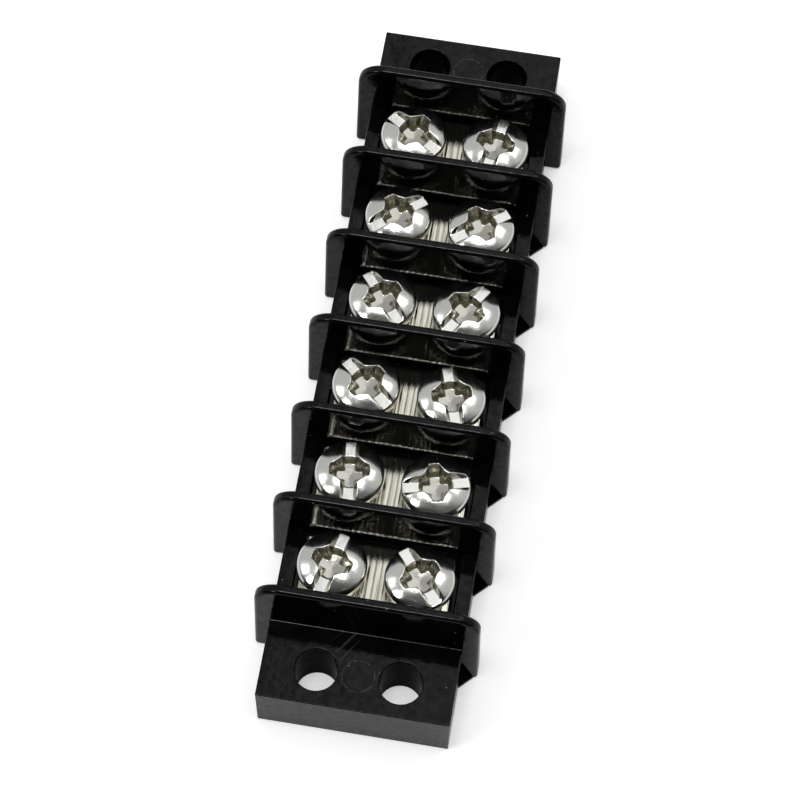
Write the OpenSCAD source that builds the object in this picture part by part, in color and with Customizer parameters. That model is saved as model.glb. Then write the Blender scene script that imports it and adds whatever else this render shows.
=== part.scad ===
// Barrier terminal strip: one moulded housing, a plated terminal plate in each
// bay and two combination-recess screws in each plate.
// X runs along the strip, Y across it and Z up. The origin is at the centre of
// the underside.

/* [Strip] */
// Number of poles: bays that each hold one plate and two screws
poles = 6; // [2:1:10]
// Distance from one barrier to the next
pitch = 11.1; // [10.5:0.1:14]

/* [Body] */
// Width of the body across the strip
body_w = 21.5; // [20.5:0.1:26]
// Height of the body, its side walls and its end tabs
body_h = 8; // [7:0.1:12]
// Thickness of the side walls of the bays
wall_t = 1.7; // [1.2:0.1:2]
// Length of each end tab, out from the middle of the last barrier
tab_len = 9.83; // [8.5:0.01:14]
// Thickness of the floor left below the screw wells
floor_t = 1.3; // [0.8:0.1:1.6]

/* [Barriers] */
// Height of the barriers above the underside
barrier_h = 15.35; // [14:0.05:20]
// Thickness of a barrier at its top edge
barrier_t = 1.16; // [0.9:0.01:1.6]
// Draft of each barrier face, in degrees
barrier_draft = 2.1; // [0.5:0.1:2.5]
// Width of a barrier across the strip at its top edge
barrier_top_w = 24.76; // [23:0.01:27.5]
// Draft of each end of a barrier, in degrees
barrier_end_draft = 1.06; // [0.5:0.01:3]
// Radius of a barrier's two top corners
barrier_corner_r = 3.1; // [0.5:0.1:4]
// Radius of a barrier's two lower corners
barrier_foot_r = 0.45; // [0.1:0.05:1]
// Radius along the long edges of a barrier's top
barrier_edge_r = 0.35; // [0.05:0.05:0.5]

/* [Foot webs] */
// Length of a foot web along the strip, out from the barrier
web_len = 1.5; // [0.5:0.1:3]
// Thickness of a foot web
web_t = 0.5; // [0.3:0.1:1.5]

/* [Mounting holes] */
// Diameter of the four mounting holes
hole_d = 4.82; // [3:0.01:5.5]
// Distance between the two holes of one tab
hole_space = 9.38; // [7:0.01:12]
// Distance from a tab's end to the middle of its holes
hole_inset = 4; // [3.5:0.1:4.2]
// Diameter of the round ejector mark between the holes
mark_d = 3.6; // [1:0.1:4]
// Depth of the ejector mark
mark_depth = 0.08; // [0.04:0.01:0.3]

/* [Terminal plates] */
// Thickness of a terminal plate
plate_t = 1; // [0.6:0.05:1.6]
// Height of a plate's top above the side walls
plate_rise = 0.1; // [0:0.05:0.5]
// Gap between a plate and the barriers beside it
plate_side_gap = 0.45; // [0.2:0.05:0.7]
// Gap between a plate's ends and the side walls
plate_end_gap = 0.6; // [0.2:0.05:0.8]
// Outer diameter of the drawn bosses under a plate
boss_d = 5.6; // [5:0.1:6.5]
// Length of the drawn bosses under a plate
boss_len = 2.2; // [1:0.1:4]
// Width of the rolled entry at the top of a tapped hole
entry_w = 0.5; // [0.1:0.1:0.6]

/* [Screws] */
// Distance between the two screws of one plate
screw_space = 9.76; // [8.5:0.01:10.5]
// Diameter over the thread
thread_d = 4.17; // [3:0.01:4.5]
// Length of a screw under its head
screw_len = 6.35; // [5:0.05:6.8]
// How far a screw is backed out from the plate
screw_lift = 1.5; // [1.2:0.1:2.5]
// Diameter of a screw head
head_d = 7.8; // [6.5:0.1:8.5]
// Height of a screw head
head_h = 2.6; // [2.2:0.1:3.2]
// Radius of the head's domed top
dome_r = 7; // [5:0.1:12]
// Radius of the rounded edge of the head
head_edge_r = 0.8; // [0.2:0.1:1]
// Width of the slot at its floor
slot_w = 1.4; // [1:0.05:1.8]
// Depth of the slot below the top of the head
slot_depth = 1.15; // [0.6:0.05:1.4]
// Length of the cross recess from wing tip to wing tip, level with the head's top
cross_len = 5; // [4:0.1:5.4]
// Width of a wing of the cross recess at its tip
wing_w = 1.28; // [0.9:0.02:1.4]
// Radius of the four rounded corners between the wings
petal_r = 2; // [1.2:0.1:2.4]
// Slope of the wing tips, in degrees from upright
wing_slope = 26; // [15:1:30]
// Depth of the cross recess below the top of the head
cross_depth = 2; // [1.5:0.1:2.2]
// Turn at which each screw stands, left then right, from the first pole
screw_turns = [58, 170, 129, 126, 40, 148, 50, 17, 7, 105, 166, 40];

/* [Hidden] */
$fn = 96;
// Overshoot that lets a cut pass clear through a surface
cut = 1;
// Running gap between a thread and its tapped hole, and round a boss
fit_gap = 0.05;

strip_len = (poles * pitch) + 2 * tab_len;
first_barrier_x = -poles * pitch / 2;
barrier_foot_w = barrier_top_w + 2 * barrier_h * tan(barrier_end_draft);
draft_run = tan(barrier_draft);
seat_z = body_h + plate_rise - plate_t;
plate_z = body_h + plate_rise;
head_z = plate_z + screw_lift;
bay_w = body_w - 2 * wall_t;
plate_len_y = bay_w - 2 * plate_end_gap;
// Thickness of a barrier where the plates pass between its faces
barrier_seat_t = barrier_t + 2 * draft_run * (barrier_h - seat_z);
plate_len_x = pitch - barrier_seat_t - 2 * plate_side_gap;
well_d = boss_d + 2 * fit_gap;
bore_d = thread_d + 2 * fit_gap;
tip_len = thread_d / 8;

function barrier_x(index) = first_barrier_x + index * pitch;
function pole_x(pole) = first_barrier_x + (pole - 0.5) * pitch;
function turn(pole, side) = screw_turns[(2 * (pole - 1) + side) % len(screw_turns)];

// The half of a disc that faces one hand, 1 for +x and -1 for -x
module outer_half(r, hand) {
    intersection() {
        circle(r = r);
        translate([hand * r, 0]) square(2 * r, center = true);
    }
}

// Trapezoid on y = 0 whose slanted sides run tangent into round corners
module rounded_trapezoid(foot_w, top_w, h, top_r, foot_r) {
    slant = atan((foot_w - top_w) / 2 / h);
    function side(y) = top_w / 2 + (h - y) * tan(slant);
    top_x = side(h - top_r) - top_r / cos(slant);
    foot_x = side(foot_r) - foot_r / cos(slant);
    top_tangent = [top_x + top_r * cos(slant), h - top_r + top_r * sin(slant)];
    foot_tangent = [foot_x + foot_r * cos(slant), foot_r + foot_r * sin(slant)];
    for (hand = [-1, 1]) {
        translate([hand * top_x, h - top_r]) outer_half(top_r, hand);
        translate([hand * foot_x, foot_r]) outer_half(foot_r, hand);
    }
    right = [[foot_x, 0], foot_tangent, top_tangent, [top_x, h]];
    left = [for (i = [3 : -1 : 0]) [-right[i][0], right[i][1]]];
    polygon(concat(right, left));
}

// One barrier about its own middle plane: its drafted section swept across the
// strip, kept where it lies inside the barrier's outline
module barrier() {
    foot_t = barrier_t + 2 * draft_run * barrier_h;
    intersection() {
        rotate([90, 0, 90])
            linear_extrude(foot_t + cut, center = true)
                rounded_trapezoid(barrier_foot_w, barrier_top_w, barrier_h,
                                  barrier_corner_r, barrier_foot_r);
        rotate([90, 0, 0])
            linear_extrude(barrier_foot_w + cut, center = true)
                rounded_trapezoid(foot_t, barrier_t, barrier_h,
                                  barrier_edge_r, barrier_edge_r / 4);
    }
}

// Three-cornered web that braces a barrier's foot against the body's side
module foot_web() {
    face_x = barrier_t / 2 + draft_run * barrier_h;
    reach = barrier_foot_w / 2 - barrier_foot_r;
    linear_extrude(web_t)
        polygon([[0, body_w / 2 - cut], [face_x + web_len, body_w / 2 - cut],
                 [face_x + web_len, body_w / 2], [face_x, reach], [0, reach]]);
}

module body_block() {
    translate([-strip_len / 2, -body_w / 2, 0]) cube([strip_len, body_w, body_h]);
}

// The open bays, cut as one trough that the barriers then divide
module bay_trough() {
    translate([first_barrier_x, -bay_w / 2, seat_z])
        cube([poles * pitch, bay_w, body_h + cut]);
}

module screw_wells() {
    for (pole = [1 : poles], hand = [-1, 1])
        translate([pole_x(pole), hand * screw_space / 2, floor_t])
            cylinder(d = well_d, h = body_h);
}

module mounting_holes() {
    for (end = [-1, 1], hand = [-1, 1])
        translate([end * (strip_len / 2 - hole_inset), hand * hole_space / 2, -cut])
            cylinder(d = hole_d, h = body_h + 2 * cut);
}

module ejector_marks() {
    for (end = [-1, 1])
        translate([end * (strip_len / 2 - hole_inset), 0, body_h - mark_depth])
            cylinder(d = mark_d, h = cut);
}

module housing() {
    color([0.05, 0.05, 0.055]) {
        difference() {
            body_block();
            bay_trough();
            screw_wells();
            mounting_holes();
            ejector_marks();
        }
        for (index = [0 : poles]) translate([barrier_x(index), 0, 0]) {
            barrier();
            if (index > 0) foot_web();
            if (index < poles) rotate([0, 0, 180]) foot_web();
        }
    }
}

module plate(pole) {
    color([0.8, 0.78, 0.72]) translate([pole_x(pole), 0, seat_z])
        difference() {
            union() {
                translate([-plate_len_x / 2, -plate_len_y / 2, 0])
                    cube([plate_len_x, plate_len_y, plate_t]);
                for (hand = [-1, 1])
                    translate([0, hand * screw_space / 2, -boss_len])
                        cylinder(d = boss_d, h = boss_len + plate_t / 2);
            }
            for (hand = [-1, 1]) translate([0, hand * screw_space / 2, 0]) {
                translate([0, 0, -boss_len - cut])
                    cylinder(d = bore_d, h = boss_len + plate_t + 2 * cut);
                translate([0, 0, plate_t - entry_w])
                    cylinder(d1 = bore_d, d2 = bore_d + 2 * entry_w, h = entry_w);
            }
        }
}

// Pan head standing on z = 0: a straight side, a rounded edge and a domed top
module head_blank() {
    edge_x = head_d / 2 - head_edge_r;
    dome_z = head_h - dome_r;
    // The rounded edge touches the dome from inside and the side from inside
    edge_z = dome_z + sqrt(pow(dome_r - head_edge_r, 2) - pow(edge_x, 2));
    touch = dome_r / (dome_r - head_edge_r);
    rotate_extrude() {
        square([head_d / 2, edge_z]);
        square([edge_x, edge_z + head_edge_r / 2]);
        translate([edge_x, edge_z]) intersection() {
            circle(r = head_edge_r);
            translate([0, -head_edge_r]) square(2 * head_edge_r);
        }
        intersection() {
            translate([0, dome_z]) circle(r = dome_r);
            polygon([[0, 0], [edge_x, edge_z],
                     [edge_x * touch, dome_z + (edge_z - dome_z) * touch],
                     [0, head_h + cut]]);
        }
    }
}

// Straight slot right across the head, with slightly flared walls
module slot_cut() {
    flare = slot_w / 12;
    rotate([90, 0, 90])
        linear_extrude(head_d + cut, center = true)
            polygon([[-slot_w / 2, head_h - slot_depth],
                     [slot_w / 2, head_h - slot_depth],
                     [slot_w / 2 + flare, head_h + cut / 10],
                     [-slot_w / 2 - flare, head_h + cut / 10]]);
}

// Plan of the cross recess: what four round corners leave of a square
module cross_plan() {
    corner_x = wing_w / 2 + petal_r;
    difference() {
        square(2 * corner_x, center = true);
        for (x = [-corner_x, corner_x], y = [-corner_x, corner_x])
            translate([x, y]) circle(r = petal_r);
    }
}

// Cross recess, whose wing tips lie on a cone that narrows downwards
module cross_cut() {
    rise = cross_depth + cut / 10;
    top_r = cross_len / 2 + cut / 10 * tan(wing_slope);
    translate([0, 0, head_h - cross_depth]) intersection() {
        linear_extrude(rise) cross_plan();
        cylinder(r1 = top_r - rise * tan(wing_slope), r2 = top_r, h = rise);
    }
}

module screw(pole, side) {
    color([0.78, 0.77, 0.74])
        translate([pole_x(pole), (2 * side - 1) * screw_space / 2, head_z])
            rotate([0, 0, turn(pole, side)]) {
                difference() {
                    head_blank();
                    slot_cut();
                    cross_cut();
                }
                translate([0, 0, tip_len - screw_len]) cylinder(d = thread_d, h = screw_len - tip_len);
                translate([0, 0, -screw_len]) cylinder(d1 = thread_d * 0.75, d2 = thread_d, h = tip_len);
            }
}

housing();
for (pole = [1 : poles]) {
    plate(pole);
    screw(pole, 0);
    screw(pole, 1);
}
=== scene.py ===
"""Dresses the barrier terminal strip: glossy moulding, ribbed plates, domed screws."""

import logging
import math
from dataclasses import dataclass
from enum import Enum

import bmesh
import bpy
import numpy as np
from mathutils import Matrix, Vector


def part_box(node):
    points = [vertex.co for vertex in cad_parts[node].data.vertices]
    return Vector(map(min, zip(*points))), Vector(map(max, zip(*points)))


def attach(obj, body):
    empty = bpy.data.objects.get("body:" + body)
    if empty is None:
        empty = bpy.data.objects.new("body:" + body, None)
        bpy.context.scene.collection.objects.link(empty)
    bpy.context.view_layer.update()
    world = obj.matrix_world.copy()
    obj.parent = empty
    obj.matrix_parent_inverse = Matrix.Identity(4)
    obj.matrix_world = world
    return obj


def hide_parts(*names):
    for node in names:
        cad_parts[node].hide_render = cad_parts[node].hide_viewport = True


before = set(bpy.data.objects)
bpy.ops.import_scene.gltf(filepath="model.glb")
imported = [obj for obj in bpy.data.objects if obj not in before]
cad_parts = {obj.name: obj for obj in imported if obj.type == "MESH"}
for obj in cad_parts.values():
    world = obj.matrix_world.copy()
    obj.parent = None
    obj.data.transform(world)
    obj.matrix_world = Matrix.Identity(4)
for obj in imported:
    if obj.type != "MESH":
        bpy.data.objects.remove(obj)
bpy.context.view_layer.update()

log = logging.getLogger("terminal_strip")

MM = 0.001
STRIP = "strip"
POLES = 6
ENDS = (-1, 1)
HANDS = (-1, 1)

# Sockets of the colour mixing node, which shares its names between several kinds of value
MIX_SHARE, MIX_UNDER, MIX_OVER, MIX_RESULT = 0, 6, 7, 2

Pair = tuple[float, float]
Triple = tuple[float, float, float]
Rgb = tuple[float, float, float]
Wave = tuple[bpy.types.Node, str | int]
Layer = tuple[Wave, Rgb]
Loop = list[bmesh.types.BMVert]


class Side(Enum):
    """The two screws of a pole, by where they stand across the strip."""

    LEFT = "left"
    RIGHT = "right"


class Join(Enum):
    """How one solid changes another."""

    ADD = "UNION"
    CUT = "DIFFERENCE"


# ---------------------------------------------------------------- mesh helpers


def new_object(name: str, mesh: bpy.types.Mesh) -> bpy.types.Object:
    """Links a mesh into the scene as a new object.

    Args:
        name: The object's name.
        mesh: Its mesh.

    Returns:
        The new object.
    """
    obj = bpy.data.objects.new(name, mesh)
    bpy.context.scene.collection.objects.link(obj)
    return obj


def apply_modifiers(obj: bpy.types.Object) -> None:
    """Applies an object's modifiers to its own mesh.

    Args:
        obj: The object.
    """
    evaluated = obj.evaluated_get(bpy.context.evaluated_depsgraph_get())
    shape = bpy.data.meshes.new_from_object(evaluated)
    obj.modifiers.clear()
    obj.data = shape


def finished(bm: bmesh.types.BMesh, name: str) -> bpy.types.Mesh:
    """Turns a bmesh into a mesh whose faces point outwards.

    Args:
        bm: The bmesh, which is freed.
        name: The mesh's name.

    Returns:
        The mesh.
    """
    bmesh.ops.recalc_face_normals(bm, faces=bm.faces)
    mesh = bpy.data.meshes.new(name)
    bm.to_mesh(mesh)
    bm.free()
    return mesh


def wall(bm: bmesh.types.BMesh, first: Loop, second: Loop) -> None:
    """Joins two closed loops of the same count with a band of faces.

    Args:
        bm: Where the faces go.
        first: One loop.
        second: The other loop.
    """
    for i in range(len(first)):
        j = (i + 1) % len(first)
        bm.faces.new((first[i], second[i], second[j], first[j]))


def ring(bm: bmesh.types.BMesh, radius: float, height: float, segments: int) -> Loop:
    """Adds a ring of vertices about the Z axis.

    Args:
        bm: Where the vertices go.
        radius: The ring's radius.
        height: Its height.
        segments: Steps round the axis.

    Returns:
        The vertices in order.
    """
    angles = [math.tau * step / segments for step in range(segments)]
    return [bm.verts.new((radius * math.cos(a), radius * math.sin(a), height)) for a in angles]


def combine(obj: bpy.types.Object, tool: bpy.types.Mesh, join: Join) -> None:
    """Joins a solid to an object, or cuts it away.

    Args:
        obj: The object that changes.
        tool: The other solid.
        join: Whether the solid is added or cut away.
    """
    other = new_object("tool", tool)
    boolean = obj.modifiers.new("combine", "BOOLEAN")
    boolean.operation = join.value
    boolean.solver = "EXACT"
    boolean.object = other
    apply_modifiers(obj)
    bpy.data.objects.remove(other)


def tube(outer_r: float, inner_r: float, low: float, high: float, segments: int = 64) -> bpy.types.Mesh:
    """Builds an upright tube or, with no inner radius, a rod.

    Args:
        outer_r: Outer radius.
        inner_r: Inner radius, or 0 for a rod.
        low: Height of its foot.
        high: Height of its top.
        segments: Steps round the axis.

    Returns:
        The closed mesh, about the Z axis.
    """
    bm = bmesh.new()
    radii = [radius for radius in (outer_r, inner_r) if radius]
    rings = [ring(bm, radius, height, segments) for radius in radii for height in (low, high)]
    if inner_r:
        pairs = [(0, 1), (1, 3), (3, 2), (2, 0)]
    else:
        pairs = [(0, 1)]
        for loop in rings:
            bm.faces.new(loop)
    for a, b in pairs:
        wall(bm, rings[a], rings[b])
    return finished(bm, "tube")


def shade(mesh: bpy.types.Mesh, crease_deg: float) -> None:
    """Shades a mesh smooth, with creases kept where its faces meet sharply.

    Args:
        mesh: The mesh.
        crease_deg: The least angle between faces that stays a crease.
    """
    mesh.shade_smooth()
    mesh.set_sharp_from_angle(angle=math.radians(crease_deg))


def soft_min(values: list[np.ndarray], blend: float) -> np.ndarray:
    """Takes the lowest of several surfaces, with the edges between them rounded.

    Args:
        values: Heights of each surface at the same points.
        blend: About how far the rounding reaches.

    Returns:
        The blended heights.
    """
    stack = np.stack(values)
    lowest = stack.min(axis=0)
    return lowest - blend * np.log(np.exp(-(stack - lowest) / blend).sum(axis=0))


# ------------------------------------------------------------------- finishes


class Sum(Enum):
    """The sums that the nodes of a tree work out."""

    TIMES = "MULTIPLY"
    MINUS = "SUBTRACT"
    SIZE = "ABSOLUTE"
    ABOVE = "GREATER_THAN"
    LARGER = "MAXIMUM"


class NodeBench:
    """Adds and links the nodes of one tree."""

    def __init__(self, tree: bpy.types.NodeTree) -> None:
        """Clears a tree, to start on it afresh.

        Args:
            tree: The node tree of a material or of the world.
        """
        self.tree = tree
        self.tree.nodes.clear()

    def add(self, kind: str, **values: object) -> bpy.types.Node:
        """Adds a node.

        Args:
            kind: The node's type.
            **values: Attributes to set on it.

        Returns:
            The node.
        """
        node = self.tree.nodes.new(kind)
        for key, value in values.items():
            setattr(node, key, value)
        return node

    def link(self, source: Wave, target: bpy.types.Node, socket: str | int) -> None:
        """Links an output to an input.

        Args:
            source: The node that gives, and its output.
            target: The node that takes.
            socket: Its input.
        """
        self.tree.links.new(source[0].outputs[source[1]], target.inputs[socket])

    def calc(self, operation: Sum, first: Wave, second: Wave | float = 0.0) -> Wave:
        """Works out one value from one or two others.

        Args:
            operation: The sum.
            first: The first value.
            second: The second value, or a number.

        Returns:
            The new value.
        """
        result = self.add("ShaderNodeMath", operation=operation.value)
        self.link(first, result, 0)
        if isinstance(second, tuple):
            self.link(second, result, 1)
        else:
            result.inputs[1].default_value = second
        return result, "Value"

    def weigh(self, source: Wave, weight: float, rest: Wave | float) -> Wave:
        """Adds a weighted value to another.

        Args:
            source: The value that is weighted.
            weight: Its weight.
            rest: What it is added to.

        Returns:
            The sum.
        """
        total = self.add("ShaderNodeMath", operation="MULTIPLY_ADD")
        self.link(source, total, 0)
        total.inputs[1].default_value = weight
        if isinstance(rest, tuple):
            self.link(rest, total, 2)
        else:
            total.inputs[2].default_value = rest
        return total, "Value"

    def remap(self, source: Wave, start: Pair, end: Pair, smooth: bool = False) -> Wave:
        """Maps one range of a value onto another.

        Args:
            source: What gives the value.
            start: A value, and what it becomes.
            end: Another value, and what it becomes.
            smooth: Whether the change eases in and out.

        Returns:
            The new value.
        """
        mapped = self.add("ShaderNodeMapRange", interpolation_type="SMOOTHSTEP" if smooth else "LINEAR")
        for socket, value in zip(("From Min", "To Min", "From Max", "To Max"), (*start, *end)):
            mapped.inputs[socket].default_value = value
        self.link(source, mapped, "Value")
        return mapped, "Result"


class FinishBench(NodeBench):
    """Builds one piece's material round a single shader."""

    def __init__(self, name: str) -> None:
        """Starts a material with only its shader and its output.

        Args:
            name: The material's name.
        """
        self.material = bpy.data.materials.new(name)
        self.material.use_nodes = True
        super().__init__(self.material.node_tree)
        self.shader = self.add("ShaderNodeBsdfPrincipled")
        self.link((self.shader, "BSDF"), self.add("ShaderNodeOutputMaterial"), "Surface")
        self.place = (self.add("ShaderNodeTexCoord"), "Object")

    def noise(self, scale: float, detail: float = 3.0, stretch: Triple = (1, 1, 1)) -> Wave:
        """Adds a noise texture in the object's own space.

        Args:
            scale: Waves for each metre.
            detail: Octaves.
            stretch: Scale of the noise along X, Y and Z.

        Returns:
            The noise and its output.
        """
        mapping = self.add("ShaderNodeMapping")
        mapping.inputs["Scale"].default_value = stretch
        self.link(self.place, mapping, "Vector")
        return self.noise_along((mapping, "Vector"), scale, detail)

    def noise_along(self, source: Wave, scale: float, detail: float) -> Wave:
        """Adds a noise texture over given coordinates.

        Args:
            source: What gives the coordinates.
            scale: Waves for each metre of them.
            detail: Octaves.

        Returns:
            The noise and its output.
        """
        noise = self.add("ShaderNodeTexNoise")
        noise.inputs["Scale"].default_value = scale
        noise.inputs["Detail"].default_value = detail
        self.link(source, noise, "Vector")
        return noise, "Fac"

    def vertex_value(self, name: str) -> Wave:
        """Reads the value of that name kept on the mesh's vertices."""
        return self.add("ShaderNodeAttribute", attribute_name=name), "Fac"

    def away(self, middle: Triple, mirror: bool = False) -> Wave:
        """Measures how far a point is from a place, seen from above.

        Args:
            middle: The place.
            mirror: Whether there is such a place at each end of the strip.

        Returns:
            The distance in metres.
        """
        parts = self.add("ShaderNodeSeparateXYZ")
        self.link(self.place, parts, 0)
        x: Wave = (parts, "X")
        if mirror:
            x = self.calc(Sum.SIZE, x)
        flat = self.add("ShaderNodeCombineXYZ")
        self.link(self.calc(Sum.MINUS, x, middle[0]), flat, 0)
        self.link(self.calc(Sum.MINUS, (parts, "Y"), middle[1]), flat, 1)
        length = self.add("ShaderNodeVectorMath", operation="LENGTH")
        self.link((flat, "Vector"), length, 0)
        return length, "Value"

    def colour(self, factor: Wave, first: Rgb, second: Rgb, layers: tuple[Layer, ...] = ()) -> None:
        """Gives the shader a colour that varies between two, under any further layers.

        Args:
            factor: How much of the second colour there is.
            first: The first colour.
            second: The second colour.
            layers: How much there is of each layer over them, and its colour.
        """
        mixed: Wave | None = None
        for share, tint in ((factor, second), *layers):
            over = self.add("ShaderNodeMix", data_type="RGBA")
            over.inputs[MIX_UNDER].default_value = (*first, 1)
            over.inputs[MIX_OVER].default_value = (*tint, 1)
            if mixed:
                self.link(mixed, over, MIX_UNDER)
            self.link(share, over, MIX_SHARE)
            mixed = (over, MIX_RESULT)
        self.link(mixed, self.shader, "Base Color")

    def bump(self, heights: tuple[tuple[Wave, float], ...]) -> None:
        """Chains bumps into the shader's normal.

        Args:
            heights: For each bump, its height and its depth in metres.
        """
        previous: Wave | None = None
        for height, depth in heights:
            bump = self.add("ShaderNodeBump")
            bump.inputs["Strength"].default_value = 1.0
            bump.inputs["Distance"].default_value = depth
            self.link(height, bump, "Height")
            if previous:
                self.link(previous, bump, "Normal")
            previous = (bump, "Normal")
        self.link(previous, self.shader, "Normal")


@dataclass(frozen=True)
class MouldedPlastic:
    """Glossy black moulding with faint flow marks, a fine grain, scratches, dust and a painted highlight
    round the ejector marks.

    Scales are in waves for each metre, and a pair is a lowest and a highest value.
    """

    name: str = "glossy_black_moulding"
    dark: Rgb = (0.0012, 0.0012, 0.0013)
    light: Rgb = (0.0030, 0.0030, 0.0032)
    ior: float = 1.28
    gloss: Pair = (0.05, 0.13)
    sheen: Pair = (0.32, 0.62)
    # Reflection left on the walls of the mounting holes, turned down as painted shade.
    bore_shade_sheen: float = 0.04
    flow_scale: float = 170
    flow_stretch: Triple = (1, 1.6, 1)
    flow_band: Pair = (0.35, 0.7)
    flow_depth: float = 0.06 * MM
    grain_scale: float = 2400
    grain_depth: float = 0.009 * MM
    mottle_scale: float = 1300
    mottle_band: Pair = (0.3, 0.7)
    # The next colour serves both the real scratches and a painted highlight round the ejector marks; the
    # mark values place that highlight and break it up.
    scuff_and_highlight: Rgb = (0.055, 0.055, 0.055)
    mark_place: Triple = (39.13 * MM, 0, 0)
    mark_r: float = 1.8 * MM
    mark_line: Pair = (0.03 * MM, 0.10 * MM)
    mark_highlight_break_scale: float = 1900
    scratch_place: Triple = (35.9 * MM, -1.5 * MM, 0)
    scratch_turn: float = math.radians(144)
    scratch_scale: float = 5200
    scratch_stretch: float = 26
    scratch_reach: Pair = (0.7 * MM, 2.2 * MM)
    dust: Rgb = (0.22, 0.22, 0.21)
    speck_scale: float = 900
    speck_bar: float = 0.68
    speck_size: Pair = (0.03, 0.10)

    def ring(self, bench: FinishBench) -> Wave:
        """Gives a painted highlight, broken up by noise, along the edge of the round ejector marks.

        Args:
            bench: The material's bench.

        Returns:
            How much of the painted highlight there is.
        """
        off = bench.calc(Sum.SIZE, bench.calc(Sum.MINUS, bench.away(self.mark_place, True), self.mark_r))
        line = bench.remap(off, (self.mark_line[0], 1), (self.mark_line[1], 0))
        highlight_breaks = bench.remap(bench.noise(self.mark_highlight_break_scale, 2), (0.40, 0.15), (0.62, 1))
        return bench.calc(Sum.TIMES, line, highlight_breaks)

    def scratches(self, bench: FinishBench) -> Wave:
        """Gives a bundle of fine scratches beside the near ejector mark.

        Args:
            bench: The material's bench.

        Returns:
            How much of a scratch there is.
        """
        mapping = bench.add("ShaderNodeMapping", vector_type="TEXTURE")
        mapping.inputs["Location"].default_value = self.scratch_place
        mapping.inputs["Rotation"].default_value = (0, 0, self.scratch_turn)
        mapping.inputs["Scale"].default_value = (self.scratch_stretch, 1, 1)
        bench.link(bench.place, mapping, "Vector")
        lines = bench.noise_along((mapping, "Vector"), self.scratch_scale, 2)
        full, none = self.scratch_reach
        near = bench.remap(bench.away(self.scratch_place), (full, 1), (none, 0))
        return bench.calc(Sum.TIMES, bench.remap(lines, (0.56, 0), (0.68, 1)), near)

    def specks(self, bench: FinishBench) -> Wave:
        """Gives a few fine specks of dust.

        Args:
            bench: The material's bench.

        Returns:
            How much dust there is.
        """
        cells = bench.add("ShaderNodeTexVoronoi")
        cells.inputs["Scale"].default_value = self.speck_scale
        bench.link(bench.place, cells, "Vector")
        chosen = bench.calc(Sum.ABOVE, (cells, "Color"), self.speck_bar)
        spot = bench.remap((cells, "Distance"), (self.speck_size[0], 1), (self.speck_size[1], 0))
        return bench.calc(Sum.TIMES, spot, chosen)

    def material(self) -> bpy.types.Material:
        """Builds the material.

        Returns:
            The material.
        """
        bench = FinishBench(self.name)
        bench.shader.inputs["IOR"].default_value = self.ior
        flow = bench.noise(self.flow_scale, 4, self.flow_stretch)
        grain = bench.noise(self.grain_scale)
        mottle = bench.noise(self.mottle_scale, 5)
        low, high = self.flow_band
        # Over the flow marks: a painted highlight round the ejector marks, then scratches, then dust.
        layers = (
            (self.ring(bench), self.scuff_and_highlight),
            (self.scratches(bench), self.scuff_and_highlight),
            (self.specks(bench), self.dust),
        )
        bench.colour(bench.remap(flow, (low, 0), (high, 1)), self.dark, self.light, layers)
        rough = bench.remap(flow, (low, self.gloss[0]), (high, self.gloss[1]))
        bench.link(rough, bench.shader, "Roughness")
        low, high = self.mottle_band
        sheen = bench.remap(mottle, (low, self.sheen[0]), (high, self.sheen[1]))
        # In the mounting holes the reflection is turned down, as painted shade that keeps their walls
        # dark.
        in_bore = bench.remap(bench.vertex_value("bore"), (0, 1), (1, self.bore_shade_sheen))
        bench.link(bench.calc(Sum.TIMES, sheen, in_bore), bench.shader, "Specular IOR Level")
        bench.bump(((flow, self.flow_depth), (grain, self.grain_depth)))
        return bench.material


@dataclass(frozen=True)
class PlateMetal:
    """Nickel-plated brass with fine drawing lines along the ribs."""

    name: str = "ribbed_nickel_plate"
    bright: Rgb = (0.64, 0.62, 0.54)
    tarnish: Rgb = (0.30, 0.28, 0.20)
    gloss: Pair = (0.04, 0.09)
    line_scale: float = 9000
    line_stretch: Triple = (0.02, 1, 1)
    streak_scale: float = 5200
    streak_stretch: Triple = (0.03, 1, 1)
    cloud_scale: float = 500
    line_depth: float = 0.010 * MM

    def material(self) -> bpy.types.Material:
        """Builds the material.

        Returns:
            The material.
        """
        bench = FinishBench(self.name)
        bench.shader.inputs["Metallic"].default_value = 1.0
        lines = bench.noise(self.line_scale, stretch=self.line_stretch)
        streak = bench.noise(self.streak_scale, stretch=self.streak_stretch)
        cloud = bench.noise(self.cloud_scale)
        bench.colour(bench.remap(streak, (0.50, 0), (0.75, 1)), self.bright, self.tarnish)
        rough = bench.remap(cloud, (0.3, self.gloss[0]), (0.7, self.gloss[1]))
        bench.link(rough, bench.shader, "Roughness")
        bench.bump(((streak, self.line_depth), (lines, self.line_depth)))
        return bench.material


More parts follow.
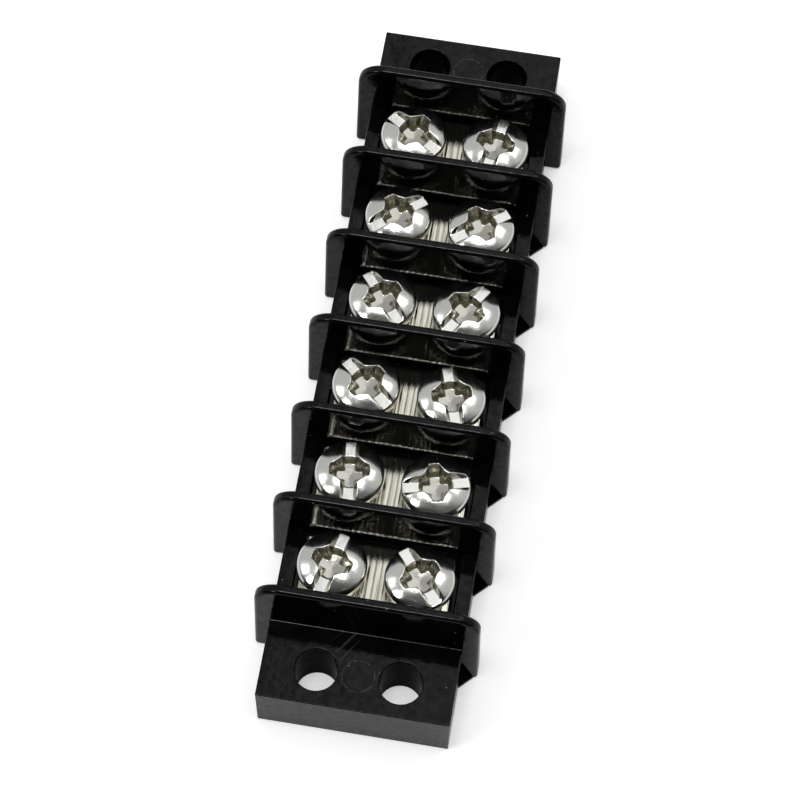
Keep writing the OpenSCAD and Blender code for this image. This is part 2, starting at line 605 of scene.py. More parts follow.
@dataclass(frozen=True)
class ScrewMetal:
    """Bright nickel over pressed steel, rougher down in the recess, which is painted darker and browner
    as painted shade, less so on its bottom.
    """

    name: str = "bright_nickel_screw"
    bright: Rgb = (0.78, 0.78, 0.75)
    # Darker, browner colour painted into the slot and the cross recess as painted shade.
    recess: Rgb = (0.29, 0.275, 0.21)
    gloss: Pair = (0.12, 0.22)
    dull: float = 0.30
    cloud_scale: float = 600
    cloud_depth: float = 0.03 * MM
    grain_scale: float = 3200
    grain_depth: float = 0.005 * MM

    def material(self) -> bpy.types.Material:
        """Builds the material.

        Returns:
            The material.
        """
        bench = FinishBench(self.name)
        bench.shader.inputs["Metallic"].default_value = 1.0
        cloud = bench.noise(self.cloud_scale, 4)
        grain = bench.noise(self.grain_scale)
        # The recess value paints the recess darker and browner as painted shade, and roughens it.
        depth = bench.vertex_value("recess")
        bench.colour(depth, self.bright, self.recess)
        polish = bench.remap(cloud, (0.3, self.gloss[0]), (0.7, self.gloss[1]))
        pressed = bench.remap(depth, (0, 0), (1, self.dull))
        bench.link(bench.calc(Sum.LARGER, polish, pressed), bench.shader, "Roughness")
        bench.bump(((cloud, self.cloud_depth), (grain, self.grain_depth)))
        return bench.material


# --------------------------------------------------------------------- pieces


@dataclass
class Housing:
    """The black moulding: body, end tabs, barriers and foot webs, with most edges softened.

    Sizes are in metres, and angles whose names end in deg in degrees. The draft is how much a
    barrier thickens on each face for each unit of depth, seat_z is the height that the plates lie
    on, and the webs start web_root inside the body.
    """

    pitch: float = 11.1 * MM
    length: float = 86.26 * MM
    body_w: float = 21.5 * MM
    body_h: float = 8.0 * MM
    wall_t: float = 1.7 * MM
    seat_z: float = 7.1 * MM
    edge_r: float = 0.13 * MM
    edge_deg: float = 50
    edge_steps: int = 3
    crease_deg: float = 36
    barrier_h: float = 15.35 * MM
    barrier_t: float = 1.16 * MM
    draft: float = math.tan(math.radians(2.1))
    top_w: float = 24.76 * MM
    foot_w: float = 25.33 * MM
    corner_r: float = 3.1 * MM
    foot_r: float = 0.45 * MM
    rim_r: float = 0.40 * MM
    rim_steps: int = 7
    foot_steps: int = 6
    corner_steps: int = 28
    web_len: float = 1.5 * MM
    web_t: float = 0.5 * MM
    web_root: float = 0.5 * MM
    web_lift: float = 0.00002 * MM
    fillet_r: float = 0.16 * MM
    fillet_steps: int = 7
    hole_r: float = 2.41 * MM
    hole_steps: int = 72
    hole_slack: float = 0.01 * MM
    hole_space: float = 9.38 * MM
    hole_inset: float = 4.0 * MM
    bay_inset: float = 0.6 * MM
    mark_r: float = 1.8 * MM
    mark_w: float = 0.11 * MM
    mark_depth: float = 0.05 * MM
    well_r: float = 2.85 * MM
    well_steps: int = 48
    floor_t: float = 1.3 * MM
    screw_space: float = 9.76 * MM
    finish: MouldedPlastic = MouldedPlastic()

    def barrier_places(self) -> list[float]:
        """Gives the middle of each barrier along the strip."""
        return [(index - POLES / 2) * self.pitch for index in range(POLES + 1)]

    def hole_x(self) -> float:
        """Gives how far the mounting holes are from the strip's middle, along it."""
        return self.length / 2 - self.hole_inset

    def half_t(self, z: float) -> float:
        """Gives half a barrier's thickness at a height."""
        return self.barrier_t / 2 + self.draft * (self.barrier_h - z)

    def outline(self) -> list[tuple[Vector, Vector]]:
        """Traces a barrier's outline across the strip.

        Returns:
            Points (y, z) in order round the outline, each with its outward direction.
        """
        slant = math.atan((self.foot_w - self.top_w) / 2 / self.barrier_h)
        half = []
        for radius, z, start, end, steps in (
            (self.foot_r, self.foot_r, -math.pi / 2, slant, self.foot_steps),
            (self.corner_r, self.barrier_h - self.corner_r, slant, math.pi / 2, self.corner_steps),
        ):
            side = self.top_w / 2 + (self.barrier_h - z) * math.tan(slant)
            middle = Vector((side - radius / math.cos(slant), z))
            for step in range(steps + 1):
                angle = start + (end - start) * step / steps
                way = Vector((math.cos(angle), math.sin(angle)))
                half.append((middle + radius * way, way))
        other = [(Vector((-p.x, p.y)), Vector((-w.x, w.y))) for p, w in reversed(half)]
        return half + other

    def rim(self, place: float, face: int, angle: float) -> list[Triple]:
        """Traces one step of the rounding between a barrier's face and its outline.

        Args:
            place: The barrier's middle along the strip.
            face: 1 for the face towards +X, -1 for the other.
            angle: How far round the edge, from the outline to the face.

        Returns:
            The points in order round the outline.
        """
        points = []
        for point, way in self.outline():
            spot = point - way * self.rim_r * (1 - math.cos(angle))
            x = self.half_t(spot.y) - self.rim_r * (1 - math.sin(angle))
            points.append((place + face * x, spot.x, spot.y))
        return points

    def barriers(self) -> bpy.types.Mesh:
        """Builds the barriers, rounded all round their outline.

        Returns:
            One mesh of separate closed barriers.
        """
        bm = bmesh.new()
        turns = np.linspace(0, math.pi / 2, self.rim_steps)
        steps = [(1, angle) for angle in turns[::-1]] + [(-1, angle) for angle in turns]
        for place in self.barrier_places():
            rings = [[bm.verts.new(p) for p in self.rim(place, face, angle)] for face, angle in steps]
            bm.faces.new(rings[0])
            bm.faces.new(rings[-1][::-1])
            for first, second in zip(rings, rings[1:]):
                wall(bm, first, second)
        return finished(bm, "barriers")

    def webs(self) -> bpy.types.Mesh:
        """Builds the three-cornered webs at the barriers' feet.

        Returns:
            One mesh of separate closed webs.
        """
        bm = bmesh.new()
        face, side = self.half_t(0), self.body_w / 2
        inside, reach, tip = side - self.web_root, self.foot_w / 2 - self.foot_r, face + self.web_len
        plan = [(0, inside), (tip, inside), (tip, side), (face, reach), (0, reach)]
        places = self.barrier_places()
        spots = [(place, 1) for place in places[1:]] + [(place, -1) for place in places[:-1]]
        for place, hand in spots:
            foot, top = (
                [bm.verts.new((place + hand * x, hand * y, z)) for x, y in plan]
                for z in (self.web_lift, self.web_t)
            )
            bm.faces.new(foot[::-1])
            bm.faces.new(top)
            wall(bm, foot, top)
        return finished(bm, "webs")

    def fillets(self) -> bpy.types.Mesh:
        """Builds the small fillets where the end barriers rise from the tabs.

        Returns:
            One mesh of separate closed fillets.
        """
        bm = bmesh.new()
        r = self.fillet_r
        arc = np.linspace(1.5 * math.pi, math.pi, self.fillet_steps)
        curve = [(r + r * math.cos(a), r + r * math.sin(a)) for a in arc]
        plan = [(-2 * r, -r), (r, -r), *curve, (-2 * r, r)]
        reach = self.body_w / 2 - self.edge_r
        for end in ENDS:
            foot = end * (self.pitch * POLES / 2 + self.half_t(self.body_h))
            first, second = (
                [bm.verts.new((foot + end * x, y, self.body_h + z)) for x, z in plan]
                for y in (-reach, reach)
            )
            bm.faces.new(first)
            bm.faces.new(second[::-1])
            wall(bm, first, second)
        return finished(bm, "fillets")

    def blocks(self, corners: list[tuple[Triple, Triple]]) -> bpy.types.Mesh:
        """Builds plain blocks.

        Args:
            corners: The low and the high corner of each block.

        Returns:
            One mesh of separate blocks.
        """
        bm = bmesh.new()
        for low, high in corners:
            size = [top - foot for foot, top in zip(low, high)]
            place = Matrix.Translation([(foot + top) / 2 for foot, top in zip(low, high)])
            bmesh.ops.create_cube(bm, size=1, matrix=place @ Matrix.Diagonal((*size, 1)))
        return finished(bm, "blocks")

    def rods(self, places: list[Pair], radius: float, span: Pair, segments: int) -> bpy.types.Mesh:
        """Builds upright rods of one size.

        Args:
            places: The middle of each rod, seen from above.
            radius: Their radius.
            span: Height of their feet and of their tops.
            segments: Steps round the axis.

        Returns:
            One mesh of separate rods.
        """
        bm = bmesh.new()
        low, high = span
        shape = {"cap_ends": True, "segments": segments, "radius1": radius, "radius2": radius}
        for x, y in places:
            place = Matrix.Translation((x, y, (low + high) / 2))
            bmesh.ops.create_cone(bm, depth=high - low, matrix=place, **shape)
        return finished(bm, "rods")

    def body(self) -> bpy.types.Object:
        """Builds the body with its bays, tabs, holes and wells, its edges softened.

        Returns:
            The piece, still without barriers.
        """
        half_l, half_w = self.length / 2, self.body_w / 2
        above = self.body_h + MM
        block = self.blocks([((-half_l, -half_w, 0), (half_l, half_w, self.body_h))])
        piece = new_object("housing_moulding", block)
        bay_w = half_w - self.wall_t
        starts = self.barrier_places()[:-1]
        bays = [
            ((x + self.bay_inset, -bay_w, self.seat_z), (x + self.pitch - self.bay_inset, bay_w, above))
            for x in starts
        ]
        holes = [(end * self.hole_x(), hand * self.hole_space / 2) for end in ENDS for hand in HANDS]
        combine(piece, self.blocks(bays), Join.CUT)
        combine(piece, self.rods(holes, self.hole_r, (-MM, above), self.hole_steps), Join.CUT)
        bevel = piece.modifiers.new("edges", "BEVEL")
        bevel.width = self.edge_r
        bevel.segments = self.edge_steps
        bevel.limit_method = "ANGLE"
        bevel.angle_limit = math.radians(self.edge_deg)
        apply_modifiers(piece)
        wells = [(x + self.pitch / 2, hand * self.screw_space / 2) for x in starts for hand in HANDS]
        depth = (self.floor_t, self.body_h)
        combine(piece, self.rods(wells, self.well_r, depth, self.well_steps), Join.CUT)
        return piece

    def marks(self) -> bpy.types.Mesh:
        """Builds the thin rings that cut the round ejector marks into the tabs.

        Returns:
            One mesh of separate rings.
        """
        bm = bmesh.new()
        for end in ENDS:
            low, high = self.body_h - self.mark_depth, self.body_h + MM
            groove = tube(self.mark_r, self.mark_r - self.mark_w, low, high)
            groove.transform(Matrix.Translation((end * self.hole_x(), 0, 0)))
            bm.from_mesh(groove)
        return finished(bm, "marks")

    def build(self) -> list[bpy.types.Object]:
        """Builds the moulding.

        Returns:
            The finished piece, alone in a list.
        """
        piece = self.body()
        for mesh in (self.barriers(), self.webs(), self.fillets()):
            combine(piece, mesh, Join.ADD)
        combine(piece, self.marks(), Join.CUT)
        shade(piece.data, self.crease_deg)
        even = piece.modifiers.new("even_shading", "WEIGHTED_NORMAL")
        even.keep_sharp = True
        even.weight = 100
        apply_modifiers(piece)
        self.mark_shaded_bores(piece.data)
        self.dress(piece)
        return [piece]

    def mark_shaded_bores(self, mesh: bpy.types.Mesh) -> None:
        """Marks the walls of the mounting holes, whose reflection the finish turns down as painted
        shade.

        Args:
            mesh: The moulding's mesh.
        """
        layer = mesh.attributes.new("bore", "FLOAT", "POINT")
        for vert, value in zip(mesh.vertices, layer.data):
            off_x = abs(vert.co.x) - self.hole_x()
            off_y = abs(vert.co.y) - self.hole_space / 2
            off = math.hypot(off_x, off_y) - self.hole_r
            value.value = float(abs(off) < self.hole_slack)

    def dress(self, piece: bpy.types.Object) -> None:
        """Gives the moulding its finish and its place in the frame.

        Args:
            piece: The moulding.
        """
        piece.data.materials.clear()
        piece.data.materials.append(self.finish.material())
        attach(piece, STRIP)
        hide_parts("housing")


@dataclass
class Plates:
    """The six terminal plates: ribbed strips with two drawn holes, tapped on the real plates but plain
    here.

    Sizes are in metres. The plate's long edges roll down over roll_len, its ends sink by about
    end_drop over end_len, and round each hole it is dished out to dish_r. The drawn surface
    wanders at wander_rate across the strip. A plate has rows x columns of faces before its holes.
    """

    thick: float = 1.0 * MM
    edge_r: float = 0.12 * MM
    roll_len: float = 0.42 * MM
    rib_space: float = 0.71 * MM
    rib_depth: float = 0.035 * MM
    wander_rate: float = 2100
    wander_bend_rate: float = 310
    end_drop: float = 0.25 * MM
    end_len: float = 0.95 * MM
    end_soften: float = 0.2
    bore_r: float = 2.135 * MM
    boss_r: float = 2.8 * MM
    boss_len: float = 2.2 * MM
    hole_space: float = 9.76 * MM
    dish_r: float = 3.3 * MM
    dish_depth: float = 0.04 * MM
    crease_deg: float = 42
    rows: int = 300
    columns: int = 36
    finish: PlateMetal = PlateMetal()

    def heights(self, x: np.ndarray, y: np.ndarray, half_x: float, half_y: float) -> np.ndarray:
        """Gives the plate's top surface over its underside.

        Args:
            x: Places along the strip, from the plate's middle.
            y: Places across it.
            half_x: Half the plate's length along the strip.
            half_y: Half its length across.

        Returns:
            The height at each place.
        """
        rib = 0.5 - 0.5 * np.cos(math.tau * y / self.rib_space)
        bend = 3 * np.sin(x * self.wander_bend_rate)
        wander = np.sin(y * self.wander_rate + bend) * 0.5 + 0.5
        top = self.thick - self.rib_depth * (0.75 * rib**3 + 0.25 * wander)
        for hand in HANDS:
            away = np.hypot(x, y - hand * self.hole_space / 2)
            dish = np.clip((self.dish_r - away) / (self.dish_r - self.bore_r), 0, 1)
            top = top - self.dish_depth * dish**2
        near_end = np.clip(1 - (half_y - np.abs(y)) / self.end_len, 0, 1)
        top = top - self.end_drop * (np.hypot(near_end, self.end_soften) - self.end_soften)
        for inset, reach in ((half_x - np.abs(x), self.roll_len), (half_y - np.abs(y), self.edge_r)):
            into = np.clip(1 - inset / reach, 0, 1)
            top = top - self.edge_r * (1 - np.sqrt(1 - into**2))
        return top

    def spread(self, half: float, count: int, reach: float) -> np.ndarray:
        """Spaces places evenly from edge to edge, with extra ones on the rounded edges.

        Args:
            half: Half the width to fill.
            count: How many even places there are.
            reach: How far the rounding reaches in from an edge.

        Returns:
            The places in rising order.
        """
        round_off = half - reach * np.array([0.0, 0.05, 0.12, 0.22, 0.35, 0.5, 0.7, 1.0])
        inner = np.linspace(-round_off[-1], round_off[-1], count)
        return np.concatenate([-round_off[:-1], inner, round_off[:-1][::-1]])

    def blank(self, half_x: float, half_y: float) -> bpy.types.Mesh:
        """Builds the ribbed strip before its holes are cut.

        Args:
            half_x: Half its length along the strip.
            half_y: Half its length across.

        Returns:
            The closed mesh, with its underside at height 0.
        """
        xs = self.spread(half_x, self.columns, self.roll_len)
        ys = self.spread(half_y, self.rows, self.edge_r)
        grid_x, grid_y = np.meshgrid(xs, ys, indexing="ij")
        top = self.heights(grid_x, grid_y, half_x, half_y)
        bm = bmesh.new()
        verts = [[bm.verts.new(p) for p in zip(*line)] for line in zip(grid_x, grid_y, top)]
        for line, after in zip(verts, verts[1:]):
            for j in range(len(ys) - 1):
                bm.faces.new((line[j], after[j], after[j + 1], line[j + 1]))
        rim = [line[0] for line in verts] + verts[-1][1:]
        rim += [line[-1] for line in verts[-2::-1]] + verts[0][-2:0:-1]
        foot = [bm.verts.new((v.co.x, v.co.y, 0)) for v in rim]
        wall(bm, rim, foot)
        bm.faces.new(foot[::-1])
        return finished(bm, "plate")

    def build(self) -> list[bpy.types.Object]:
        """Builds one plate and sets a copy in each bay.

        Returns:
            The finished pieces.
        """
        low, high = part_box("plate_1")
        blank = self.blank((high.x - low.x) / 2, (high.y - low.y) / 2)
        pattern = new_object("plate_pattern", blank)
        for hand in HANDS:
            boss = tube(self.boss_r, 0, -self.boss_len, self.thick / 2)
            bore = tube(self.bore_r, 0, -2 * self.boss_len, 2 * self.thick)
            for mesh, join in ((boss, Join.ADD), (bore, Join.CUT)):
                mesh.transform(Matrix.Translation((0, hand * self.hole_space / 2, 0)))
                combine(pattern, mesh, join)
        shade(pattern.data, self.crease_deg)
        pattern.data.materials.clear()
        pattern.data.materials.append(self.finish.material())
        pieces = []
        for pole in range(1, POLES + 1):
            node = f"plate_{pole}"
            low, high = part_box(node)
            mesh = pattern.data.copy()
            mesh.transform(Matrix.Translation(((low.x + high.x) / 2, 0, high.z - self.thick)))
            piece = new_object(f"ribbed_{node}", mesh)
            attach(piece, STRIP)
            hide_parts(node)
            pieces.append(piece)
        bpy.data.objects.remove(pattern)
        return pieces


@dataclass
class Screws:
    """The twelve pan-head screws with a slot and a cross recess, and a cut thread.

    Sizes are in metres. The slot is slot_half wide on each side of its middle and widens by the
    flare up to the dome. The cross has four wings of wing_half, and between them petals of
    petal_r whose walls fall by core_slope, and in the wings by wing_slope. tip_r and tip_deg give
    the driver's cone that ends the wings, and dish_slope the hollow at the bottom. side_shade is how
    much painted shade darkens the slot's sides, and bottom_bright how much of the recess's painted
    shade its bottom is spared. turns_deg has each screw's turn, pole by pole, left before right.
    """

    head_r: float = 3.9 * MM
    head_h: float = 2.6 * MM
    dome_r: float = 7.0 * MM
    edge_r: float = 0.8 * MM
    skirt_h: float = 0.12 * MM
    slot_half: float = 0.55 * MM
    slot_depth: float = 1.2 * MM
    flare: float = 0.42 * MM
    wing_half: float = 0.64 * MM
    petal_r: float = 2.0 * MM
    wall_drop: float = 0.25 * MM
    core_slope: float = 2.2
    wing_slope: float = 7.0
    tip_r: float = 1.92 * MM
    tip_deg: float = 26.0
    cross_depth: float = 2.35 * MM
    dish_slope: float = 0.12
    side_shade: float = 0.75
    bottom_bright: float = 0.52
    soften: float = 0.035 * MM
    grid_step: float = 0.055 * MM
    grid_gap: float = 0.014 * MM
    grid_shares: Pair = (0.66, 0.68)
    grid_squeeze: float = 0.86
    rim_steps: tuple[int, int] = (15, 24)
    thread_r: float = 2.085 * MM
    thread_depth: float = 0.47 * MM
    thread_pitch: float = 0.794 * MM
    thread_steps: tuple[int, int] = (40, 10)
    crest_gain: float = 1.15
    neck_len: float = 0.1 * MM
    run_out: float = 0.35 * MM
    tip_len: float = 0.6 * MM
    tip_share: float = 0.78
    shank_len: float = 6.35 * MM
    crease_deg: float = 50
    turns_deg: tuple[float, ...] = (58, 170, 129, 126, 40, 148, 50, 17, 7, 105, 166, 40)
    finish: ScrewMetal = ScrewMetal()

    def dome(self, r: np.ndarray) -> np.ndarray:
        """Gives the height of the uncut head.

        Args:
            r: Distances from its axis.

        Returns:
            The height at each distance.
        """
        edge_x, dome_z = self.head_r - self.edge_r, self.head_h - self.dome_r
        edge_z = dome_z + math.sqrt((self.dome_r - self.edge_r) ** 2 - edge_x**2)
        meet = edge_x * self.dome_r / (self.dome_r - self.edge_r)
        crown = dome_z + np.sqrt(np.maximum(self.dome_r**2 - r**2, 0))
        rim = edge_z + np.sqrt(np.maximum(self.edge_r**2 - (r - edge_x) ** 2, 0))
        return np.where(r < meet, crown, rim)

    def surface(self, x: np.ndarray, y: np.ndarray) -> tuple[np.ndarray, np.ndarray]:
        """Gives the top of the head with its slot along X and its cross recess.

        Args:
            x: Places along the slot.
            y: Places across it.

        Returns:
            The height at each place, and from 0 to 1 how much of the recess's painted shade and
            roughness it takes.
        """
        r = np.hypot(x, y)
        dome = self.dome(r)
        floor = self.head_h - self.slot_depth
        rise = np.maximum((np.abs(y) - self.slot_half) / self.flare, 0)
        slot = floor + rise * np.maximum(dome - floor, 0.1 * MM)
        dish = self.head_h - self.cross_depth + self.dish_slope * r
        cross = np.maximum(self.cross_walls(x, y), dish)
        height = soft_min([dome, slot, cross], self.soften)
        # How much painted shade each place takes: all of it deep in the cross below the slot floor, part
        # of it on the sides above, less on the cross's bottom.
        under_slot = np.clip((floor - height - 0.02 * MM) / (0.3 * MM), 0, 1)
        at_bottom = np.clip(1 - (height - dish) / (0.12 * MM), 0, 1)
        sunk = np.clip((dome - height) / np.maximum(dome - floor, 0.05 * MM), 0, 1)
        on_side = np.clip(4 * sunk * (1 - sunk), 0, 1)
        dull = np.maximum(under_slot * (1 - self.bottom_bright * at_bottom), on_side * self.side_shade)
        return np.minimum(height, dome), dull

    def cross_walls(self, x: np.ndarray, y: np.ndarray) -> np.ndarray:
        """Gives the walls of the cross recess, without its bottom.

        Args:
            x: Places along the slot.
            y: Places across it.

        Returns:
            The height of the wall at each place.
        """
        corner = self.wing_half + self.petal_r
        past_x, past_y = (np.maximum(corner - np.abs(along), 0) for along in (x, y))
        lean = np.abs(np.cos(2 * np.arctan2(y, x))) ** 4
        slope = self.core_slope + (self.wing_slope - self.core_slope) * lean
        side = self.head_h - self.wall_drop + (self.petal_r - np.hypot(past_x, past_y)) * slope
        cone = (np.hypot(x, y) - self.tip_r) / math.tan(math.radians(self.tip_deg))
        return np.maximum(side, self.head_h - self.slot_depth + cone)

    def lines(self, sides: list[float], reach: float) -> np.ndarray:
        """Spaces grid lines on one side of the middle, with extra ones where a wall falls.

        Args:
            sides: Where the walls of the recess are.
            reach: How far the lines go.

        Returns:
            The places of the lines, in rising order from the middle.
        """
        shifts = (-0.06, -0.03, -0.01, 0.01, 0.03, 0.05, 0.075, 0.1, 0.13, 0.17)
        values = set(np.arange(0, reach, self.grid_step).round(7))
        for side in sides:
            values |= {round(side + shift * MM, 7) for shift in shifts}
        kept = [0.0]
        for value in sorted(values):
            if value - kept[-1] > self.grid_gap:
                kept.append(value)
        return np.array(kept)

    def head(self, bm: bmesh.types.BMesh, layer: bmesh.types.BMLayerItem) -> Loop:
        """Adds the top of the head.

        Args:
            bm: Where the faces go.
            layer: Takes each vertex's share of the recess's painted shade.

        Returns:
            The loop of vertices round the head's edge.
        """
        share_x, share_y = self.grid_shares
        steps_x, steps_y = self.rim_steps
        ys = self.lines([self.slot_half, self.slot_half + self.flare], share_y * self.head_r)
        turns = np.linspace(math.asin(ys[-1] / self.head_r), math.pi / 2, steps_y)[1:-1]
        ys = np.concatenate([ys, self.head_r * np.sin(turns)])
        inner = self.lines([self.wing_half], share_x * self.head_r)
        even = np.linspace(0, 1, steps_x)[1:]
        outer = np.sin(even * math.pi / 2) * 0.55 + even * 0.45
        rows = []
        for y in np.concatenate([-ys[:0:-1], ys]):
            reach = math.sqrt(self.head_r**2 - y**2)
            squeeze = min(1.0, self.grid_squeeze * reach / inner[-1])
            start = inner[-1] * squeeze
            line = np.concatenate([inner * squeeze, start + outer * (reach - start)])
            line = np.concatenate([-line[:0:-1], line])
            row = []
            for x, z, value in zip(line, *self.surface(line, np.full_like(line, y))):
                vert = bm.verts.new((x, y, z))
                vert[layer] = value
                row.append(vert)
            rows.append(row)
        for first, second in zip(rows, rows[1:]):
            for i in range(len(first) - 1):
                bm.faces.new((first[i], first[i + 1], second[i + 1], second[i]))
        poles = []
        edge_z = self.dome(np.array(self.head_r)).item()
        for row, sign in ((rows[0], -1), (rows[-1], 1)):
            pole = bm.verts.new((0, sign * self.head_r, edge_z))
            poles.append(pole)
            for a, b in zip(row, row[1:]):
                bm.faces.new((a, b, pole))
        right, left = [row[-1] for row in rows], [row[0] for row in reversed(rows)]
        return [poles[0], *right, poles[1], *left]

    def thread(self, z: float, angle: float) -> float:
        """Gives the shank's radius on its thread.

        Args:
            z: Height below the head, as a negative number.
            angle: Direction from the axis.

        Returns:
            The radius there.
        """
        phase = (z / self.thread_pitch - angle / math.tau) % 1.0
        ridge = min(1.0, self.crest_gain * abs(2 * phase - 1))
        groove = self.thread_depth * min(1, max(0, (-z - self.neck_len) / self.run_out))
        tip = min(1, max(0, (z + self.shank_len) / self.tip_len))
        limit = self.thread_r * (self.tip_share + (1 - self.tip_share) * tip)
        return min(limit, self.thread_r - groove * (1 - ridge))

    def shank(self, bm: bmesh.types.BMesh) -> None:
        """Adds the threaded shank below the head, open at its top.

        Args:
            bm: Where the faces go.
        """
        around, down = self.thread_steps
        count = round(self.shank_len / self.thread_pitch * down) + 1
        angles = [math.tau * step / around for step in range(around)]
        loops = []
        for z in np.linspace(0, -self.shank_len, count):
            spots = [(self.thread(z, angle), angle) for angle in angles]
            loops.append([bm.verts.new((r * math.cos(a), r * math.sin(a), z)) for r, a in spots])
        for above, below in zip(loops, loops[1:]):
            wall(bm, above, below)
        bm.faces.new(loops[-1])

    def pattern(self) -> bpy.types.Mesh:
        """Builds one screw with the underside of its head at height 0.

        Returns:
            The mesh, with each vertex's share of the recess's painted shade.
        """
        bm = bmesh.new()
        loop = self.head(bm, bm.verts.layers.float.new("recess"))
        shrink = 1 - self.skirt_h / self.head_r
        side = [bm.verts.new((v.co.x, v.co.y, self.skirt_h)) for v in loop]
        under = [bm.verts.new((v.co.x * shrink, v.co.y * shrink, 0)) for v in loop]
        wall(bm, loop, side)
        wall(bm, side, under)
        self.shank(bm)
        bmesh.ops.bridge_loops(bm, edges=[edge for edge in bm.edges if edge.is_boundary])
        mesh = finished(bm, "screw")
        shade(mesh, self.crease_deg)
        mesh.materials.append(self.finish.material())
        return mesh

    def build(self) -> list[bpy.types.Object]:
        """Builds one screw and sets a turned copy in each hole.

        Returns:
            The finished pieces.
        """
        pattern = self.pattern()
        pieces = []
        turns = iter(self.turns_deg)
        for pole in range(1, POLES + 1):
            for side in Side:
                node = f"screw_{pole}_{side.value}"
                low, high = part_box(node)
                middle = (low + high) / 2
                place = Matrix.Translation((middle.x, middle.y, low.z + self.shank_len))
                mesh = pattern.copy()
                mesh.transform(place @ Matrix.Rotation(math.radians(next(turns)), 4, "Z"))
                piece = new_object(f"pan_head_{node}", mesh)
                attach(piece, node)
                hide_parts(node)
                pieces.append(piece)
        return pieces


# --------------------------------------------------------------------- studio


@dataclass(frozen=True)
class Softbox:
    """An oblong lamp that faces the strip, its first side along the strip."""

    name: str
    direction: Triple
    distance: float
    size: tuple[float, float]
    radiance: float

    def build(self) -> None:
        """Hangs the lamp."""
        lamp = bpy.data.lights.new(self.name, "AREA")
        lamp.shape = "RECTANGLE"
        lamp.size, lamp.size_y = self.size
        lamp.energy = self.radiance * math.pi * self.size[0] * self.size[1]
        obj = bpy.data.objects.new(self.name, lamp)
        towards = Vector(self.direction).normalized()
        along = Vector((0, 1, 0)).cross(towards).normalized()
        turn = Matrix((along, towards.cross(along), towards)).transposed().to_4x4()
        obj.matrix_world = Matrix.Translation(towards * self.distance) @ turn
        bpy.context.scene.collection.objects.link(obj)


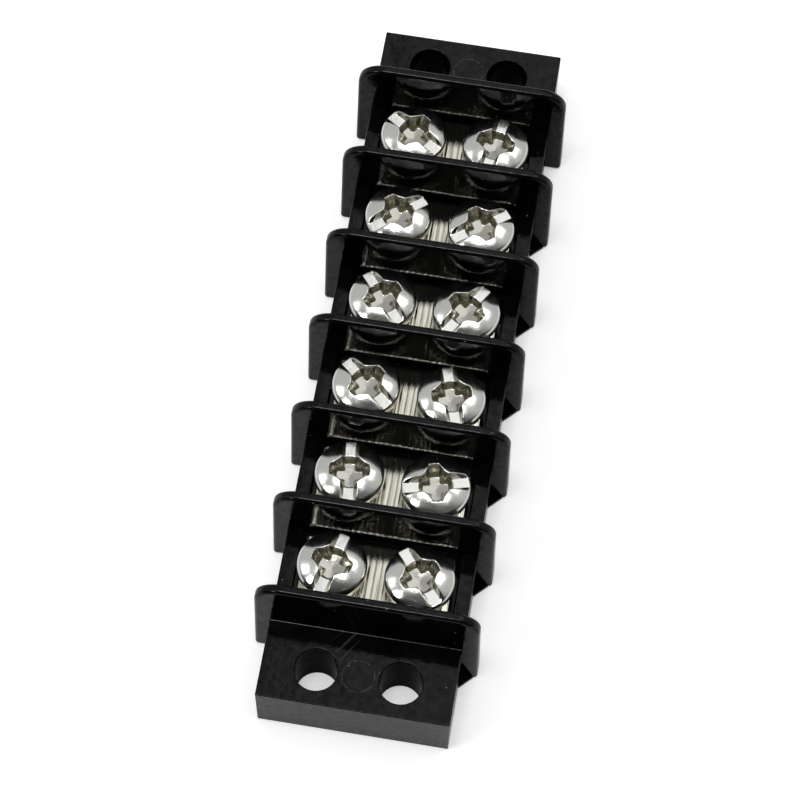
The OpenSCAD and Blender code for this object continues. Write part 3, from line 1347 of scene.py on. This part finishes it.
@dataclass
class Studio:
    """The pale floor, the lamps, the plain surround and the camera.

    The surround fades along the strip from far_bright to near_dim, between the two directions
    in fade. Each lift is the glow that a kind of ray sees beyond the light of the lamps.
    """

    floor_size: float = 6.0
    floor_colour: Rgb = (0.88, 0.88, 0.88)
    floor_lift: float = 0.40
    floor_lift_glossy: float = 0.03
    surround_lift_glossy: float = 0.03
    near_dim: float = 0.05
    far_bright: float = 0.5
    fade: Pair = (-0.10, 0.38)
    lamps: tuple[Softbox, ...] = (
        Softbox("overhead_softbox", (0.06, -0.02, 1.0), 1.2, (0.35, 1.25), 2.6),
        Softbox("zenith_lamp", (0.11, -0.11, 1.0), 1.2, (0.17, 0.22), 17.0),
        Softbox("far_card", (-0.42, 0.14, 0.90), 1.2, (0.55, 0.60), 0.6),
        Softbox("near_left_softbox", (0.39, -0.60, 0.70), 1.2, (0.28, 0.28), 10.0),
        Softbox("left_softbox", (0.0, -0.78, 0.62), 1.2, (0.34, 0.34), 1.6),
        Softbox("right_softbox", (-0.33, 0.52, 0.79), 1.2, (0.40, 0.36), 1.8),
    )
    camera_place: Triple = (0.13559, 0.01762, 0.28836)
    camera_right: Triple = (-0.16426774, 0.9863572, 0.01075111)
    camera_back: Triple = (0.41999878, 0.06007637, 0.90553401)
    lens_mm: float = 121.94

    def build(self) -> None:
        """Sets the floor, the lamps, the surround and the camera."""
        self.lay_floor()
        self.light()
        self.set_camera()

    def lay_floor(self) -> None:
        """Lays a pale floor that reads as white and still takes the strip's shadow."""
        bm = bmesh.new()
        bmesh.ops.create_grid(bm, x_segments=1, y_segments=1, size=self.floor_size / 2)
        mesh = bpy.data.meshes.new("floor")
        bm.to_mesh(mesh)
        bm.free()
        floor = new_object("pale_floor", mesh)
        material = bpy.data.materials.new("pale_floor")
        material.use_nodes = True
        bench = NodeBench(material.node_tree)
        matt = bench.add("ShaderNodeBsdfDiffuse")
        matt.inputs["Color"].default_value = (*self.floor_colour, 1)
        glow = bench.add("ShaderNodeEmission")
        seen = bench.add("ShaderNodeLightPath")
        direct = bench.calc(Sum.LARGER, (seen, "Is Camera Ray"), (seen, "Is Transmission Ray"))
        lift = bench.weigh(direct, self.floor_lift, 0.0)
        lift = bench.weigh((seen, "Is Glossy Ray"), self.floor_lift_glossy, lift)
        bench.link(lift, glow, "Strength")
        total = bench.add("ShaderNodeAddShader")
        bench.link((matt, "BSDF"), total, 0)
        bench.link((glow, "Emission"), total, 1)
        bench.link((total, "Shader"), bench.add("ShaderNodeOutputMaterial"), "Surface")
        mesh.materials.append(material)

    def light(self) -> None:
        """Hangs the lamps and sets the surround."""
        for lamp in self.lamps:
            lamp.build()
        world = bpy.data.worlds.new("surround")
        world.use_nodes = True
        bench = NodeBench(world.node_tree)
        background = bench.add("ShaderNodeBackground")
        background.inputs["Color"].default_value = (1, 1, 1, 1)
        split = bench.add("ShaderNodeSeparateXYZ")
        bench.link((bench.add("ShaderNodeTexCoord"), "Generated"), split, 0)
        far, near = self.fade
        strength = bench.remap((split, "X"), (far, self.far_bright), (near, self.near_dim), smooth=True)
        seen = bench.add("ShaderNodeLightPath")
        strength = bench.weigh((seen, "Is Glossy Ray"), self.surround_lift_glossy, strength)
        for ray in ("Is Camera Ray", "Is Transmission Ray"):
            strength = bench.calc(Sum.LARGER, strength, (seen, ray))
        bench.link(strength, background, "Strength")
        bench.link((background, "Background"), bench.add("ShaderNodeOutputWorld"), "Surface")
        bpy.context.scene.world = world

    def set_camera(self) -> None:
        """Sets the camera above the near end of the strip."""
        camera = bpy.data.cameras.new("camera")
        camera.lens = self.lens_mm
        camera.sensor_width = 36
        camera.clip_start = 0.01
        obj = bpy.data.objects.new("camera", camera)
        back = Vector(self.camera_back).normalized()
        right = Vector(self.camera_right).normalized()
        up = back.cross(right)
        turn = Matrix((right, up, back)).transposed().to_4x4()
        obj.matrix_world = Matrix.Translation(self.camera_place) @ turn
        bpy.context.scene.collection.objects.link(obj)
        bpy.context.scene.camera = obj
        bpy.context.scene.view_settings.view_transform = "Standard"


def main() -> None:
    """Builds every piece in order, reports it and sets the scene."""
    logging.basicConfig(level=logging.INFO, format="%(name)s: %(message)s")
    for assembly in (Housing(), Plates(), Screws()):
        for piece in assembly.build():
            log.info("%s: %d faces", piece.name, len(piece.data.polygons))
    Studio().build()


if __name__ == "__main__":
    main()
